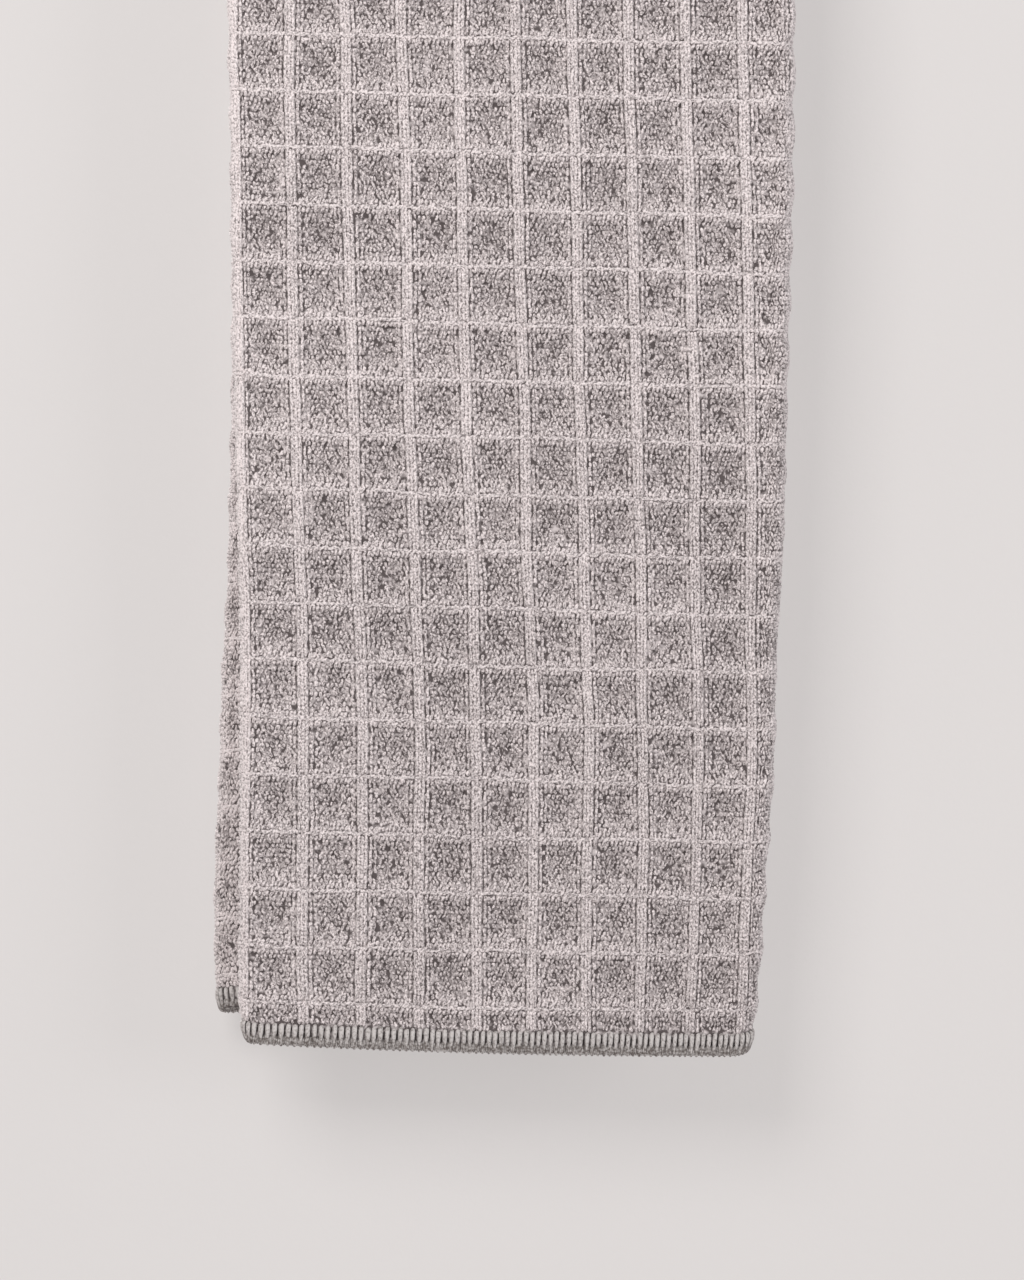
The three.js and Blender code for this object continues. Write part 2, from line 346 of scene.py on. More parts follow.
# A value for each vertex that the material reads by name
def storeValue(piece, name, values):
    layer = piece.data.attributes.new(name, "FLOAT", "POINT")
    layer.data.foreach_set("value", np.asarray(values, np.float32).ravel())


print("materials")
looks = {
    "terryLight": (0.765, 0.695, 0.695, 1),
    # The terry's dark end, which its painted shade at the loops' feet and in the pits mixes towards
    "terryDark": (0.115, 0.095, 0.095, 1),
    # the ground's dark end, seen in the gaps between loops, stands in for the shade there: painted shade
    "groundCloth": (0.09, 0.075, 0.075, 1),
    "footShade": 0.52,  # painted shade: how much darker a loop is painted at its foot, where the loops shade each other
    "footCurve": 2.0,  # above 1 the dark keeps to the foot
    "cloudSize": 24,  # of the noise that the dye follows, higher is finer
    "cloudDepth": 0.05,
    "speckDepth": 0.55,
    "terrySpeck": 1900,
    "groundSpeck": 700,
    "threadCloud": 60,
    "threadSpeck": 1500,
    "thread": (0.5, 0.47, 0.46, 1),
    "threadShade": (0.13, 0.11, 0.102, 1),
    "wall": (0.25, 0.2395, 0.2365, 1),
    "wallGlow": 0.45,  # light that the backdrop gives off, so that the towel's shadow on it stays faint
    "floor": (0.4, 0.388, 0.384, 1),
    "floorGlow": 0.32,
}


def newMaterial(name):
    material = bpy.data.materials.new(name)
    material.use_nodes = True
    tree = material.node_tree
    return material, tree, tree.nodes["Principled BSDF"]


def addNode(tree, kind, settings=None, **inputs):
    node = tree.nodes.new("ShaderNode" + kind)
    for key, value in (settings or {}).items():
        setattr(node, key, value)
    for key, value in inputs.items():
        target = node.inputs[key.replace("_", " ")]
        if isinstance(value, bpy.types.NodeSocket):
            tree.links.new(value, target)
        else:
            target.default_value = value
    return node


# Uneven dyeing: clouds and specks of lighter and darker yarn, for the terry, the ground and the sewing,
# added to the shade that each gives it, which holds painted shade and highlights
def makeYarnMottle():
    group = bpy.data.node_groups.new("yarnMottle", "ShaderNodeTree")
    for name in ("Light", "Dark"):
        group.interface.new_socket(name=name, in_out="INPUT", socket_type="NodeSocketColor")
    for name in ("Shade", "Cloud Size", "Speck Size"):
        group.interface.new_socket(name=name, in_out="INPUT", socket_type="NodeSocketFloat")
    group.interface.new_socket(name="Color", in_out="OUTPUT", socket_type="NodeSocketColor")
    group.interface.new_socket(name="Speck", in_out="OUTPUT", socket_type="NodeSocketFloat")
    given = group.nodes.new("NodeGroupInput")
    out = group.nodes.new("NodeGroupOutput")
    place = addNode(group, "TexCoord")
    cloud = addNode(group, "TexNoise", Vector=place.outputs["Object"], Scale=given.outputs["Cloud Size"],
                    Detail=2.0)
    speck = addNode(group, "TexNoise", Vector=place.outputs["Object"], Scale=given.outputs["Speck Size"],
                    Detail=1.0, Roughness=0.5)
    cloudPart = addNode(group, "MapRange", Value=cloud.outputs["Fac"], From_Min=0.3, From_Max=0.7,
                        To_Min=-looks["cloudDepth"], To_Max=looks["cloudDepth"])
    speckPart = addNode(group, "MapRange", Value=speck.outputs["Fac"], From_Min=0.3, From_Max=0.7,
                        To_Min=-looks["speckDepth"], To_Max=looks["speckDepth"])
    both = addNode(group, "Math", {"operation": "ADD"})
    group.links.new(cloudPart.outputs["Result"], both.inputs[0])
    group.links.new(speckPart.outputs["Result"], both.inputs[1])
    shade = addNode(group, "Math", {"operation": "ADD", "use_clamp": True})
    group.links.new(both.outputs[0], shade.inputs[0])
    group.links.new(given.outputs["Shade"], shade.inputs[1])
    mix = addNode(group, "Mix", {"data_type": "RGBA"})
    group.links.new(shade.outputs[0], mix.inputs["Factor"])
    group.links.new(given.outputs["Dark"], mix.inputs["A"])
    group.links.new(given.outputs["Light"], mix.inputs["B"])
    group.links.new(mix.outputs["Result"], out.inputs["Color"])
    group.links.new(speck.outputs["Fac"], out.inputs["Speck"])
    return group


yarnMottle = makeYarnMottle()


def placeMottle(tree, light, dark, cloudSize, speckSize, shade):
    node = tree.nodes.new("ShaderNodeGroup")
    node.node_tree = yarnMottle
    node.inputs["Light"].default_value = looks[light]
    node.inputs["Dark"].default_value = looks[dark]
    node.inputs["Cloud Size"].default_value = looks[cloudSize]
    node.inputs["Speck Size"].default_value = looks[speckSize]
    tree.links.new(shade, node.inputs["Shade"])
    return node


def fuzzBump(tree, shader, height, depth, strength):
    bump = addNode(tree, "Bump", Strength=strength, Distance=depth, Height=height)
    tree.links.new(bump.outputs["Normal"], shader.inputs["Normal"])


# Terry loops: each has its own shade, stored with it, with painted shade in the pits and painted
# highlights on the ridge crests and rims, and its foot is painted darker than its tip, as painted shade in
# the gaps between loops
def makeTerry():
    material, tree, shader = newMaterial("terry")
    own = addNode(tree, "Attribute", {"attribute_name": "loopShade"})
    # Painted shade between the loops: the colour darkens towards each loop's foot
    rise = addNode(tree, "Attribute", {"attribute_name": "loopRise"})
    low = addNode(tree, "MapRange", Value=rise.outputs["Fac"], To_Min=1.0, To_Max=0.0)
    steeper = addNode(tree, "Math", {"operation": "POWER"})
    tree.links.new(low.outputs["Result"], steeper.inputs[0])
    steeper.inputs[1].default_value = looks["footCurve"]
    foot = addNode(tree, "Math", {"operation": "MULTIPLY"})
    tree.links.new(steeper.outputs[0], foot.inputs[0])
    foot.inputs[1].default_value = looks["footShade"]
    shade = addNode(tree, "Math", {"operation": "SUBTRACT"})
    tree.links.new(own.outputs["Fac"], shade.inputs[0])
    tree.links.new(foot.outputs[0], shade.inputs[1])
    mottle = placeMottle(tree, "terryLight", "terryDark", "cloudSize", "terrySpeck", shade.outputs[0])
    tree.links.new(mottle.outputs["Color"], shader.inputs["Base Color"])
    shader.inputs["Roughness"].default_value = 0.9
    shader.inputs["Specular IOR Level"].default_value = 0.2
    shader.inputs["Sheen Weight"].default_value = 0.25
    shader.inputs["Sheen Roughness"].default_value = 0.6
    shader.inputs["Sheen Tint"].default_value = (1, 0.97, 0.96, 1)
    fuzzBump(tree, shader, mottle.outputs["Speck"], 0.15 * mm, 0.5)
    return material


# The woven ground between the loops, seen only in the gaps and on the layers inside the fold. Its stored
# shade paints it dark where loops cover it, as painted shade in the gaps
def makeGround():
    material, tree, shader = newMaterial("groundCloth")
    own = addNode(tree, "Attribute", {"attribute_name": "groundShade"})
    mottle = placeMottle(tree, "terryLight", "groundCloth", "cloudSize", "groundSpeck", own.outputs["Fac"])
    tree.links.new(mottle.outputs["Color"], shader.inputs["Base Color"])
    shader.inputs["Roughness"].default_value = 0.95
    shader.inputs["Specular IOR Level"].default_value = 0.15
    shader.inputs["Sheen Weight"].default_value = 0.15
    fuzzBump(tree, shader, mottle.outputs["Speck"], 0.5 * mm, 0.8)
    return material


def makeThread():
    material, tree, shader = newMaterial("overlockThread")
    own = addNode(tree, "Attribute", {"attribute_name": "threadShade"})
    mottle = placeMottle(tree, "thread", "threadShade", "threadCloud", "threadSpeck", own.outputs["Fac"])
    tree.links.new(mottle.outputs["Color"], shader.inputs["Base Color"])
    shader.inputs["Roughness"].default_value = 0.7
    shader.inputs["Specular IOR Level"].default_value = 0.3
    shader.inputs["Sheen Weight"].default_value = 0.1
    fuzzBump(tree, shader, mottle.outputs["Speck"], 0.1 * mm, 0.5)
    return material


terry = makeTerry()
ground = makeGround()
thread = makeThread()


print("ground cloth")
groundCloth = {
    "samplesPerPit": 8,
    "hiddenStep": 5.0,
    "waffledFrom": -13,  # the face has its full mesh between these places across
    "waffledTo": 160,
    "innerStep": 3.6,
    "pileDepth": 0.5,  # the ground lies this far under the tips of the pile
    "hemThickness": 0.75,  # half of it, under the sewing
    "reverseHollow": 0.9,
    "leastFloor": -1.2,  # the ground of the face comes no closer to the reverse
    "hemRows": [0, 0.5, 1.5, 2.8, 4, 5.1, 6.2],  # rows of points over each hem
    "hemRowsTo": 6.8,
    "hemEarly": 0.8,  # the ground starts to rise this much nearer the hem than its relief does
    # Painted shade: the ground is painted dark where loops cover it, and the bare part below lightens it
    "shade": 0.12,
    "bareShade": 0.36,  # added to it where no loops cover the ground
    "mapMargin": 0.01,
}


# Places along the cloth that get a row of points
def clothRows():
    step = weave["alongPitch"] / groundCloth["samplesPerPit"]
    inner = np.arange(weave["firstRow"] - 2 * step, weave["length"] - weave["hemHeight"], step)
    inner = inner[inner > groundCloth["hemRowsTo"]]
    nearHem = np.array(groundCloth["hemRows"])
    return np.concatenate([nearHem, inner, (weave["length"] - nearHem)[::-1]])


# Columns across the cloth, as shares between the two raw edges outside the waffled part
def clothColumns(step):
    tuckedEdge, closingEdge = edgesAt(frontLength)
    waffled = np.arange(groundCloth["waffledFrom"], groundCloth["waffledTo"] + 0.01, step)
    tucked = np.linspace(0, 1, int((waffled[0] - tuckedEdge) / groundCloth["hiddenStep"]))[:-1]
    closing = np.linspace(0, 1, int((closingEdge - waffled[-1]) / groundCloth["hiddenStep"]))[1:]
    return tucked, waffled, closing


# The places across of those columns, at each row
def columnPlaces(columns, along):
    tucked, waffled, closing = columns
    low, high = edgesAt(along)
    parts = [low[:, None] + (waffled[0] - low)[:, None] * tucked,
             np.broadcast_to(waffled, (len(along), len(waffled))),
             waffled[-1] + (high - waffled[-1])[:, None] * closing]
    return np.concatenate(parts, axis=1)


# 0 under the sewing of a hem, 1 past it
def hemShare(along):
    fromHem = np.minimum(along, weave["length"] - along)
    return ease((fromHem - weave["hemHeight"] + groundCloth["hemEarly"]) / weave["hemRise"])


# Height of the reverse, which is hollow behind the ridges of the face and full behind its pits
def innerHeight(across, along):
    hidden = reliefShare(across, along)[2]
    shareAcross, shareAlong = ridgeShares(across, along)
    hollow = groundCloth["reverseHollow"] * ease(np.maximum(shareAcross, shareAlong)) * (1 - hidden)
    full = -weave["reverse"] + (weave["reverse"] - weave["plain"]) * hidden + hollow
    return -groundCloth["hemThickness"] + (full + groundCloth["hemThickness"]) * hemShare(along)


# Height of the woven ground under the loops of the face
def groundHeight(across, along):
    full = faceHeight(across, along) - groundCloth["pileDepth"] * (1 - bareShare(across, along))
    full = np.maximum(full, groundCloth["leastFloor"])
    return groundCloth["hemThickness"] + (full - groundCloth["hemThickness"]) * hemShare(along)


# Quads between rows and columns of points that are numbered from first
def gridFaces(rows, columns, first, flip):
    corner = first + np.arange(rows - 1)[:, None] * columns + np.arange(columns - 1)
    quad = [corner, corner + 1, corner + columns + 1, corner + columns]
    return np.stack(quad[::-1] if flip else quad, axis=-1).reshape(-1, 4)


# A strip between the borders of the face and the reverse, which have different counts of points
def stitchBorders(outer, inner, outerPlace, innerPlace):
    faces = []
    i = j = 0
    while i < len(outer) - 1 or j < len(inner) - 1:
        onOuter = j == len(inner) - 1 or (i < len(outer) - 1 and outerPlace[i + 1] <= innerPlace[j + 1])
        nextPoint = outer[i + 1] if onOuter else inner[j + 1]
        faces.append([outer[i], inner[j], nextPoint])
        if onOuter:
            i += 1
        else:
            j += 1
    return faces


# The whole cloth as one closed mesh, its face and its reverse joined at the four edges
def makeCloth():
    rows = clothRows()
    outerColumns = clothColumns(weave["acrossPitch"] / groundCloth["samplesPerPit"])
    innerColumns = clothColumns(groundCloth["innerStep"])
    outerAcross = columnPlaces(outerColumns, rows)
    innerAcross = columnPlaces(innerColumns, rows)
    outerAlong = np.broadcast_to(rows[:, None], outerAcross.shape)
    innerAlong = np.broadcast_to(rows[:, None], innerAcross.shape)
    outerPoints = hangPoint(outerAcross, outerAlong, groundHeight(outerAcross, outerAlong))
    innerPoints = hangPoint(innerAcross, innerAlong, innerHeight(innerAcross, innerAlong))
    outerCount = outerAcross.size
    points = np.concatenate([outerPoints.reshape(-1, 3), innerPoints.reshape(-1, 3)])
    quads = np.concatenate([
        gridFaces(len(rows), outerAcross.shape[1], 0, False),
        gridFaces(len(rows), innerAcross.shape[1], outerCount, True),
    ])
    outerIds = np.arange(outerCount).reshape(outerAcross.shape)
    innerIds = outerCount + np.arange(innerAcross.size).reshape(innerAcross.shape)
    rim = []
    for row, turned in ((0, False), (-1, True)):
        strip = stitchBorders(outerIds[row], innerIds[row], outerAcross[row], innerAcross[row])
        rim += [face[::-1] for face in strip] if turned else strip
    for column, turned in ((0, True), (-1, False)):
        strip = stitchBorders(outerIds[:, column], innerIds[:, column], rows, rows)
        rim += [face[::-1] for face in strip] if turned else strip
    triangles = np.concatenate([quads[:, [0, 1, 2]], quads[:, [0, 2, 3]], np.array(rim)])
    piece = newPiece("towelCloth", points, triangles, ground)
    acrossAll = np.concatenate([outerAcross.ravel(), innerAcross.ravel()])
    alongAll = np.concatenate([outerAlong.ravel(), innerAlong.ravel()])
    low, high = edgesAt(alongAll)
    side = np.repeat([0.0, 0.5], [outerCount, innerAcross.size])  # the reverse has its own half of the map
    margin = groundCloth["mapMargin"]
    layOut(piece, np.stack([
        side + margin + (0.5 - 2 * margin) * (acrossAll - low) / (high - low),
        margin + (1 - 2 * margin) * alongAll / weave["length"],
    ], axis=-1))
    # Painted shade: dark under the loops, lighter where the face is bare and on the reverse
    bare = bareShare(acrossAll, alongAll)
    bare[outerCount:] = 1
    storeValue(piece, "groundShade", groundCloth["shade"] + groundCloth["bareShade"] * bare)
    return piece


towelCloth = makeCloth()
print("  triangles", len(towelCloth.data.polygons))

print("terry pile")
pile = {
    "perPitAcross": 14,
    "perPitAlong": 12,
    "halfWidth": 0.6,
    "halfLength": 0.92,
    "height": 0.6,
    "sink": 0.15,
    "topShare": 0.45,  # a loop's top is this share of its foot's length
    "topTilt": 0.08,
    "ridgeStretch": 0.3,  # loops on a ridge are longer by this share
    "ridgeUpright": (0.72, 0.16),  # where a ridge along the cloth starts on the way up to it, and its fade
    "ridgeLevel": (0.77, 0.18),  # the same for a ridge across the cloth
    "crossing": (0.84, 0.1),
    "columns": (0.5, 0.15),  # and for the loops that stand in straight columns beside a ridge
    "uprightDraw": 0.18,  # share of the way that the columns beside a ridge along the cloth draw in to it
    "levelDraw": 0.12,  # the same for the rows beside a ridge across the cloth
    "acrossScatter": 0.18,
    "alongScatter": 0.24,
    "lean": 0.2,
    "slopeReach": 0.4,  # the face's slope is read over this distance to each side
    "missing": 0.02,
    "hemGap": 5.1,
    "bands": 4,
    "seed": 21,
    "shade": 0.71,
    "shadeSpread": 0.06,
    "pitShade": 0.22,  # painted shade: how much darker the loops at the bottom of a pit are painted, as if less light reached them
    "crest": (0.24, 0.18),  # where the painted highlight on a ridge's crest ends on the way down, and its fade
    "ridgeHighlight": 0.04,
    "lowRidgeShade": -0.08,  # added to it by the front hem: the crests there are painted dimmer, as if less light reached them
    "lowRidgesTo": 220,
    "leftRimHighlight": 0.2,  # painted highlight: the rims, which turn towards the light, are painted lighter past these places across
    "leftRimFrom": 2.0,
    "rightRimHighlight": 0.08,
    "rightRimFrom": 133,
    "rimFade": 1.5,
    "ridgeFootRise": 0.12,  # the painted shade at the feet of these loops is as light as if they stood this far up
    "columnFootRise": 0.3,
}

# A loop has six points at its foot, numbered round it, and two on its top
footPoints = 6
loopFaces = np.array([
    [0, 1, 6], [1, 2, 7], [1, 7, 6], [2, 3, 7],
    [3, 4, 7], [4, 5, 6], [4, 6, 7], [5, 0, 6],
])
loopPoints = footPoints + 2


# How far into a zone a share is. The zone is where it starts and how wide its fade is
def within(zone, share):
    start, fade = pile[zone]
    return ease((share - start) / fade)


# Where the loops stand between two places along the cloth: a staggered grid, in straight columns by
# the ridges that run along the cloth
def loopPlaces(first, last, rng):
    acrossStep = weave["acrossPitch"] / pile["perPitAcross"]
    alongStep = weave["alongPitch"] / pile["perPitAlong"]
    firstColumn = math.ceil(pileSpan["fromAtBack"] / acrossStep)
    columns = np.arange(firstColumn, math.floor(pileSpan["to"] / acrossStep) + 1)
    rows = np.arange(math.ceil(first / alongStep), math.ceil(last / alongStep))
    column, row = [grid.ravel() for grid in np.meshgrid(columns, rows)]
    across = column * acrossStep
    along = row * alongStep + weave["firstRow"] % alongStep
    inColumns = within("columns", ridgeShares(across, along)[0])
    across = across + 0.5 * acrossStep * (row % 2) * (inColumns < 0.5)
    across = across - weave["wobble"] * waves(across, along, *weave["uprightWaves"])
    along = along - weave["wobble"] * waves(across, along, *weave["levelWaves"])
    onRidge = np.maximum(*ridgeShares(across, along)) > 0.8
    kept = (across > pileFrom(along)) & (onRidge | (rng.random(len(across)) > pile["missing"]))
    cellSize = np.array([1 / len(columns), 1 / len(rows)])
    cells = (np.stack([column - columns[0], row - rows[0]], axis=-1) + 0.5) * cellSize
    return across[kept], along[kept], cells[kept], cellSize


# One joined mesh of loops between two places along the cloth
def makePileBand(name, first, last, seed):
    rng = np.random.default_rng(seed)
    across, along, cells, cellSize = loopPlaces(first, last, rng)
    shareAcross, shareAlong = ridgeShares(across, along)
    acrossOffset, alongOffset = ridgeOffsets(across, along)
    count = len(across)
    draw = rng.random((count, 8)) * 2 - 1
    upright = within("ridgeUpright", shareAcross) * (1 - within("crossing", shareAlong))
    level = within("ridgeLevel", shareAlong) * (1 - upright)
    onRidge = np.maximum(upright, level)
    inPit = 1 - onRidge
    inColumns = within("columns", shareAcross) * (1 - level)
    deep = 1 - np.maximum(shareAcross, shareAlong)
    across = across - pile["uprightDraw"] * upright * acrossOffset
    along = along - pile["levelDraw"] * level * alongOffset

    # Loops in the pits are scattered and turned most, and those of a ridge across the cloth lie along it
    across = across + pile["acrossScatter"] * draw[:, 0] * (0.3 + 1.1 * inPit) * (1 - 0.4 * inColumns)
    along = along + pile["alongScatter"] * draw[:, 1] * (0.9 + 0.2 * inPit)
    turn = draw[:, 2] * (0.25 + 0.5 * ease(2 * deep)) * inPit * (1 - 0.7 * inColumns)
    turn = turn + 0.16 * draw[:, 2] * upright + level * (1.2 + 0.6 * draw[:, 3])
    halfLength = pile["halfLength"] * (1 + pile["ridgeStretch"] * onRidge + 0.22 * draw[:, 4])
    halfWidth = pile["halfWidth"] * (1 + 0.05 * onRidge - 0.12 * inColumns * inPit + 0.16 * draw[:, 5])
    height = pile["height"] * (1 + (0.06 + 0.14 * inPit) * draw[:, 6])

    # Slope of the face under each loop, so that it stands square to it
    reach = pile["slopeReach"]
    slopeAcross = (faceHeight(across + reach, along) - faceHeight(across - reach, along)) / (2 * reach)
    slopeAlong = (faceHeight(across, along + reach) - faceHeight(across, along - reach)) / (2 * reach)
    steep = np.sqrt(1 + slopeAcross ** 2 + slopeAlong ** 2)

    corners = np.arange(footPoints) * math.pi / 3
    alongTurn, acrossTurn = np.cos(turn)[:, None], np.sin(turn)[:, None]
    footLong = halfLength[:, None] * np.cos(corners)
    footWide = halfWidth[:, None] * np.sin(corners)
    footAcross = across[:, None] + footWide * alongTurn + footLong * acrossTurn
    footAlong = along[:, None] + footLong * alongTurn - footWide * acrossTurn
    base = faceHeight(footAcross, footAlong) - groundCloth["pileDepth"] - pile["sink"]

    tops = np.array([pile["topShare"], -pile["topShare"]])
    leanAcross = pile["lean"] * rng.normal(size=count) * (1 - 0.6 * onRidge) - slopeAcross / steep * height
    leanAlong = pile["lean"] * rng.normal(size=count) - slopeAlong / steep * height
    topAcross = across[:, None] + halfLength[:, None] * tops * acrossTurn + leanAcross[:, None]
    topAlong = along[:, None] + halfLength[:, None] * tops * alongTurn + leanAlong[:, None]
    tip = faceHeight(across, along) - groundCloth["pileDepth"] + height / steep
    slopeTurned = slopeAcross[:, None] * acrossTurn + slopeAlong[:, None] * alongTurn
    tilt = pile["topTilt"] * draw[:, 7:8] * tops
    tipHeight = tip[:, None] + tops * halfLength[:, None] * slopeTurned + tilt

    allAcross = np.concatenate([footAcross, topAcross], axis=1)
    allAlong = np.concatenate([footAlong, topAlong], axis=1)
    points = hangPoint(allAcross, allAlong, np.concatenate([base, tipHeight], axis=1))
    faces = (np.arange(count) * loopPoints)[:, None, None] + loopFaces
    piece = newPiece(name, points, faces.reshape(-1, 3)[:, ::-1], terry)

    # Each loop has its own cell of the colour map
    inCell = np.stack([allAcross - across[:, None], allAlong - along[:, None]], axis=-1)
    inCell = np.clip(0.2 * inCell / pile["halfLength"], -0.45, 0.45) * cellSize
    layOut(piece, (cells[:, None] + inCell).reshape(-1, 2))
    shade = pile["shade"] + pile["shadeSpread"] * rng.normal(size=count) * (0.35 + 0.65 * inPit)
    # Painted highlight on the ridge crests, weaker by the front hem where less light reaches
    ridgeHighlight = pile["ridgeHighlight"] + pile["lowRidgeShade"] * ease(1 - along / pile["lowRidgesTo"])
    crestEnd, crestFade = pile["crest"]
    # Painted highlight on the ridge crests and painted shade at the bottom of the pits
    shade = shade + ridgeHighlight * ease((crestEnd - deep) / crestFade) - pile["pitShade"] * ease(deep)
    # Painted highlight on the rims, which turn towards the light
    shade = shade + pile["leftRimHighlight"] * ease((pile["leftRimFrom"] - across) / pile["rimFade"])
    shade = shade + pile["rightRimHighlight"] * ease((across - pile["rightRimFrom"]) / pile["rimFade"])
    storeValue(piece, "loopShade", np.repeat(np.clip(shade, 0, 1), loopPoints))
    # Less painted shade at the feet of loops on the ridges and in the columns beside them
    footRise = pile["ridgeFootRise"] * onRidge + pile["columnFootRise"] * inColumns * inPit
    rise = np.ones((count, loopPoints))
    rise[:, :footPoints] = footRise[:, None]
    storeValue(piece, "loopRise", rise)
    return piece


pileEnds = np.linspace(pile["hemGap"], weave["length"] - pile["hemGap"], pile["bands"] + 1)
pilePieces = [
    makePileBand(f"terryPile{i + 1}", pileEnds[i], pileEnds[i + 1], pile["seed"] + i)
    for i in range(pile["bands"])
]
print("  triangles", sum(len(piece.data.polygons) for piece in pilePieces))

print("overlock sewing")
sewing = {
    "pitch": 1.63,
    "slant": 0.06,  # how far a stitch leans to the side for each millimetre in from the edge
    "unevenness": 0.08,
    "scatter": 0.05,
    "strandSteps": (0.36, 0.64),  # where the two strands of looper thread lie between two stitches
    "stitchSides": 5,
    "strandSides": 4,
    "hiddenShare": 0.75,  # of the stitches' height, on the layers inside the fold
    "foldedAt": 40,  # the place along the cloth at which hidden layers are told from open ones
    "endGap": 0.8,
    "sideEnds": 7,  # the sewing of the side edge stops this far from the hems
    "seed": 60,
}

# One stitch from its needle hole over the edge to the reverse: how far in from the edge, height off
# the middle of the cloth, half its width, half its thickness, and its shade, which is painted: lightest on
# the bars over the face, darker where the thread rolls under the edge and sinks into its needle holes,
# partly painted shade and partly the band's darker thread
stitchPath = [
    [5.4, 0.4, 0.3, 0.2, 0.5],
    [5.2, 1.05, 0.6, 0.3, 0.85],
    [4.6, 1.45, 0.69, 0.37, 1.0],
    [3.7, 1.5, 0.67, 0.39, 1.0],
    [2.7, 1.4, 0.6, 0.37, 0.92],
    [1.9, 1.2, 0.47, 0.33, 0.6],
    [1.1, 1.02, 0.43, 0.3, 0.4],
    [0.3, 0.84, 0.43, 0.28, 0.32],
    [-0.35, 0.4, 0.38, 0.25, 0.4],
    [-0.5, -0.1, 0.36, 0.25, 0.35],
    [-0.3, -0.6, 0.38, 0.25, 0.4],
    [0.6, -0.95, 0.42, 0.25, 0.5],
    [2.6, -1.05, 0.42, 0.25, 0.6],
    [4.6, -1.05, 0.42, 0.25, 0.7],
    [5.4, -0.5, 0.3, 0.2, 0.5],
]

# A strand of the looper thread beside it, in the rolled band at the very edge, with a darker shade that is
# partly painted shade under the roll and partly the band's darker thread
strandPath = [
    [2.4, 0.5, 0.16, 0.16, 0.25],
    [1.9, 0.9, 0.22, 0.2, 0.36],
    [1.1, 1.0, 0.26, 0.22, 0.36],
    [0.3, 0.82, 0.26, 0.22, 0.35],
    [-0.2, 0.35, 0.22, 0.2, 0.3],
    [-0.28, -0.2, 0.2, 0.2, 0.3],
    [0.3, -0.8, 0.24, 0.2, 0.35],
    [1.6, -0.8, 0.2, 0.18, 0.4],
]


# Threads as tubes that all follow one path, each beside the next along the edge. The points come out
# as places along the edge, how far in from it, and height
def threadTubes(places, path, sides, rng):
    path = np.array(path)
    count = len(places)
    loose = sewing["unevenness"]
    draw = rng.random((count, 4, 1, 1)) * 2 - 1
    way = np.gradient(path[:, :2], axis=0)
    way = (way / np.linalg.norm(way, axis=1, keepdims=True))[:, None]
    turns = (np.arange(sides) + 0.5) * 2 * math.pi / sides
    inward, height, halfWidth, halfThick, shade = [column[:, None] for column in path.T]
    swell = 1 + loose * draw[:, 0]
    lean = sewing["slant"] + 0.25 * loose * draw[:, 1]
    longer = 1 + 0.5 * loose * draw[:, 2]
    side = places[:, None, None] + lean * inward + swell * halfWidth * np.cos(turns)
    thick = swell * halfThick * np.sin(turns)
    inward = inward * longer - way[..., 1] * thick
    height = height + way[..., 0] * thick
    shade = shade + 0.1 * draw[:, 3]
    full = (count, len(path), sides)
    ids = np.arange(np.prod(full)).reshape(full)
    here, there = ids[:, :-1], ids[:, 1:]
    faces = np.stack([here, np.roll(here, -1, axis=2), np.roll(there, -1, axis=2), there], axis=-1)
    values = [np.broadcast_to(part, full).ravel() for part in (side, inward, height, shade)]
    return values + [faces.reshape(-1, 4)]


# Several sets of tubes as one
def joinTubes(parts):
    columns, faces, first = [[], [], [], []], [], 0
    for *values, quads in parts:
        for column, value in zip(columns, values):
            column.append(value)
        faces.append(quads + first)
        first += len(values[0])
    return [np.concatenate(column) for column in columns] + [np.concatenate(faces)]


def splitQuads(quads):
    return np.concatenate([quads[:, [0, 1, 2]], quads[:, [0, 2, 3]]])


# The sewing over a hem, right across the cloth
def sewHem(name, atBack, seed):
    rng = np.random.default_rng(seed)
    along = weave["length"] if atBack else 0
    low, high = edgesAt(along)
    sewn = high - low - 2 * sewing["endGap"]
    count = int(sewn / sewing["pitch"])
    places = low + sewing["endGap"] + (np.arange(count) + 0.5) * sewn / count
    places = places + sewing["scatter"] * rng.normal(size=count)
    tubes = [threadTubes(places, stitchPath, sewing["stitchSides"], rng)]
    for step in sewing["strandSteps"]:
        tubes.append(threadTubes(places + step * sewing["pitch"], strandPath, sewing["strandSides"], rng))
    across, inward, height, shade, faces = joinTubes(tubes)
    hidden = reliefShare(across, np.full(across.shape, sewing["foldedAt"]))[2]
    height = height * (1 + (sewing["hiddenShare"] - 1) * hidden)
    points = hangPoint(across, along - inward if atBack else inward, height)
    faces = splitQuads(faces)
    piece = newPiece(name, points, faces[:, ::-1] if atBack else faces, thread)
    layOut(piece, threadLayout(len(points)))
    storeValue(piece, "threadShade", np.clip(shade, 0, 1))
    return piece


# Each point of the sewing takes its own place on the colour map
def threadLayout(count):
    ids = np.arange(count)
    perRow = int(math.sqrt(count)) + 1
    return np.stack([(ids % perRow + 0.5) / perRow, (ids // perRow + 0.5) / perRow], axis=-1)


# The sewing along the closing layer's raw edge, which shows from inside the bend
def sewSide(name, seed):
    rng = np.random.default_rng(seed)
    ends = sewing["sideEnds"]
    places = np.arange(ends, weave["length"] - ends, sewing["pitch"])
    places = places + sewing["scatter"] * rng.normal(size=len(places))
    along, inward, height, shade, faces = threadTubes(places, stitchPath[::2], sewing["strandSides"], rng)
    across = edgesAt(along)[1] - inward
    points = hangPoint(across, along, sewing["hiddenShare"] * height)
    piece = newPiece(name, points, splitQuads(faces), thread)
    layOut(piece, threadLayout(len(points)))
    storeValue(piece, "threadShade", np.clip(shade, 0, 1))
    return piece


